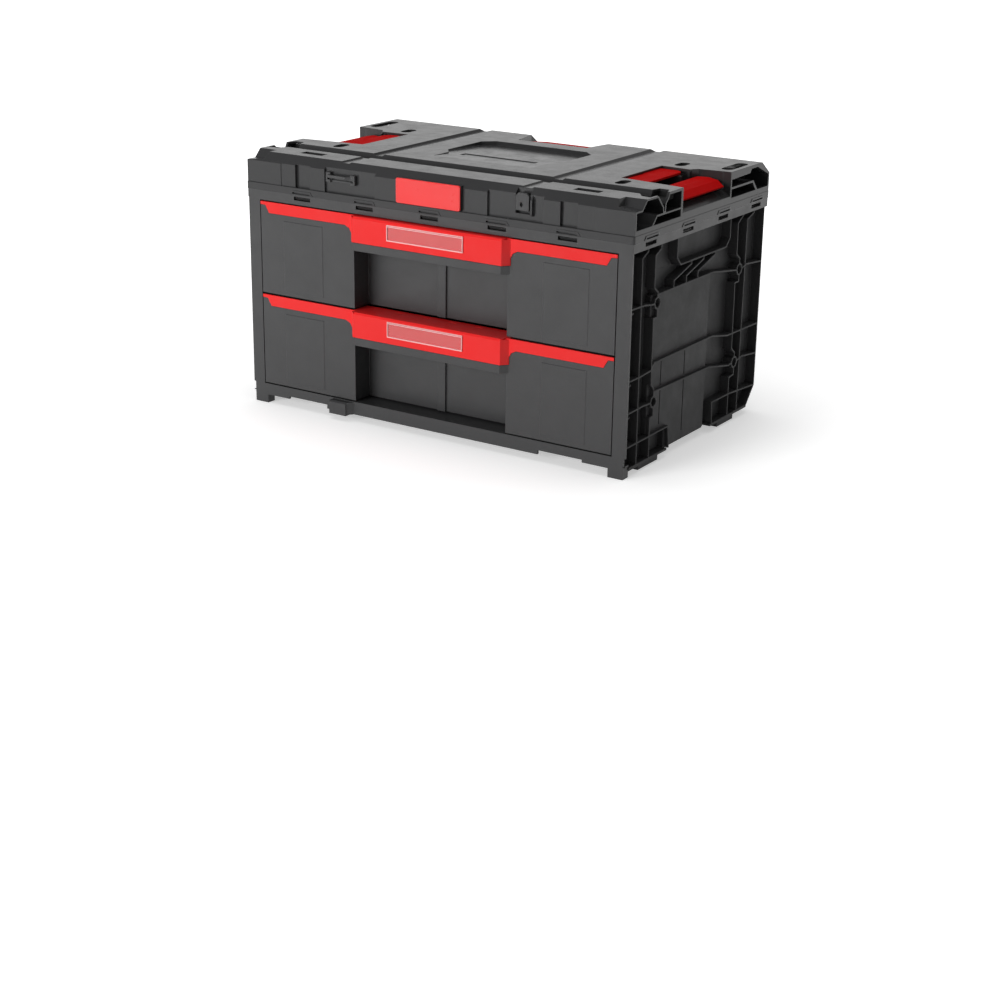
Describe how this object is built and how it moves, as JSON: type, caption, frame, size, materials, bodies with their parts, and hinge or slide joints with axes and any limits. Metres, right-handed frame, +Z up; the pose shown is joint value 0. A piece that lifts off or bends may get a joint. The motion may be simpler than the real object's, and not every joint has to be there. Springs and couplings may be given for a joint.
{
  "type": "stackable drawer box",
  "caption": "Stackable tool and parts box with wide drawers on ball slides, full-width red pulls, a ribbed case, a lid with stacking channel, side latches and a rear latch.",
  "frame": {"origin": "centre of the footprint, on the floor under the feet", "axes": "+X to the right and -Y out of the front face with the drawers, +Z up"},
  "size_m": [0.5812, 0.3702, 0.3385],
  "materials": {
    "case_grey": "fine moulded grain",
    "lid_grey": "fine moulded grain",
    "trim_red": "satin",
    "window_clear": "clear",
    "slide_steel": "zinc plated"
  },
  "bodies": {
    "case": {"front_frame": "case_grey", "case_floor": "case_grey", "back_wall": "case_grey", "rim_band": "case_grey", "right_side_wall": "case_grey", "left_side_wall": "case_grey", "right_hand_hold": "case_grey", "left_hand_hold": "case_grey", "right_upper_ribs": "case_grey", "left_upper_ribs": "case_grey", "top_cover": "lid_grey", "nameplate": "trim_red", "nameplate_pad": "case_grey", "front_loop": "case_grey", "right_latch_pin": "slide_steel", "left_latch_pin": "slide_steel", "rear_latch_pin": "slide_steel", "slide_screws": "slide_steel", "lower_right_channel": "slide_steel", "lower_left_channel": "slide_steel", "upper_right_channel": "slide_steel", "upper_left_channel": "slide_steel"},
    "lower_drawer": {"lower_front_panel": "case_grey", "lower_handle_trim": "trim_red", "lower_label_window": "window_clear", "lower_drawer_tray": "case_grey", "lower_right_runner": "slide_steel", "lower_left_runner": "slide_steel"},
    "lower_cages": {"lower_ball_cages": "slide_steel"},
    "upper_drawer": {"upper_front_panel": "case_grey", "upper_handle_trim": "trim_red", "upper_label_window": "window_clear", "upper_drawer_tray": "case_grey", "upper_right_runner": "slide_steel", "upper_left_runner": "slide_steel"},
    "upper_cages": {"upper_ball_cages": "slide_steel"},
    "right_lever": {"right_latch_lever": "trim_red"},
    "left_lever": {"left_latch_lever": "trim_red"},
    "right_hook": {"right_latch_hook": "trim_red"},
    "left_hook": {"left_latch_hook": "trim_red"},
    "rear_catch": {"rear_latch": "trim_red"},
    "lock_tab": {"lock_slider": "case_grey"}
  },
  "joints": [
    {"name": "lower_drawer_slide", "type": "slide", "parent": "case", "child": "lower_drawer", "axis": [0, -1, 0], "range_m": [0, 0.215]},
    {"name": "lower_cage_slide", "type": "slide", "parent": "case", "child": "lower_cages", "axis": [0, -1, 0], "range_m": [0, 0.1075]},
    {"name": "upper_drawer_slide", "type": "slide", "parent": "case", "child": "upper_drawer", "axis": [0, -1, 0], "range_m": [0, 0.215]},
    {"name": "upper_cage_slide", "type": "slide", "parent": "case", "child": "upper_cages", "axis": [0, -1, 0], "range_m": [0, 0.1075]},
    {"name": "right_lever_turn", "type": "hinge", "parent": "case", "child": "right_lever", "pos_m": [0.25, 0.0045, 0.324], "axis": [0, -1, 0], "range_deg": [0, 28], "stiffness_Nm_per_rad": 0.05, "springref_deg": -11.46},
    {"name": "right_hook_slide", "type": "slide", "parent": "case", "child": "right_hook", "axis": [-1, 0, 0], "range_m": [0, 0.0061]},
    {"name": "left_lever_turn", "type": "hinge", "parent": "case", "child": "left_lever", "pos_m": [-0.25, 0.0045, 0.324], "axis": [0, 1, 0], "range_deg": [0, 28], "stiffness_Nm_per_rad": 0.05, "springref_deg": -11.46},
    {"name": "left_hook_slide", "type": "slide", "parent": "case", "child": "left_hook", "axis": [1, 0, 0], "range_m": [0, 0.0061]},
    {"name": "rear_latch_turn", "type": "hinge", "parent": "case", "child": "rear_catch", "pos_m": [0, 0.1655, 0.3235], "axis": [-1, 0, 0], "range_deg": [0, 18], "stiffness_Nm_per_rad": 0.05, "springref_deg": -11.46},
    {"name": "lock_slide", "type": "slide", "parent": "case", "child": "lock_tab", "axis": [0, 0, -1], "range_m": [0, 0.003]}
  ],
  "couplings": [
    {"joint": "lower_cage_slide", "follows": "lower_drawer_slide", "ratio": 0.5},
    {"joint": "upper_cage_slide", "follows": "upper_drawer_slide", "ratio": 0.5},
    {"joint": "right_hook_slide", "follows": "right_lever_turn", "m_per_rad": 0.012278},
    {"joint": "left_hook_slide", "follows": "left_lever_turn", "m_per_rad": 0.012278}
  ]
}
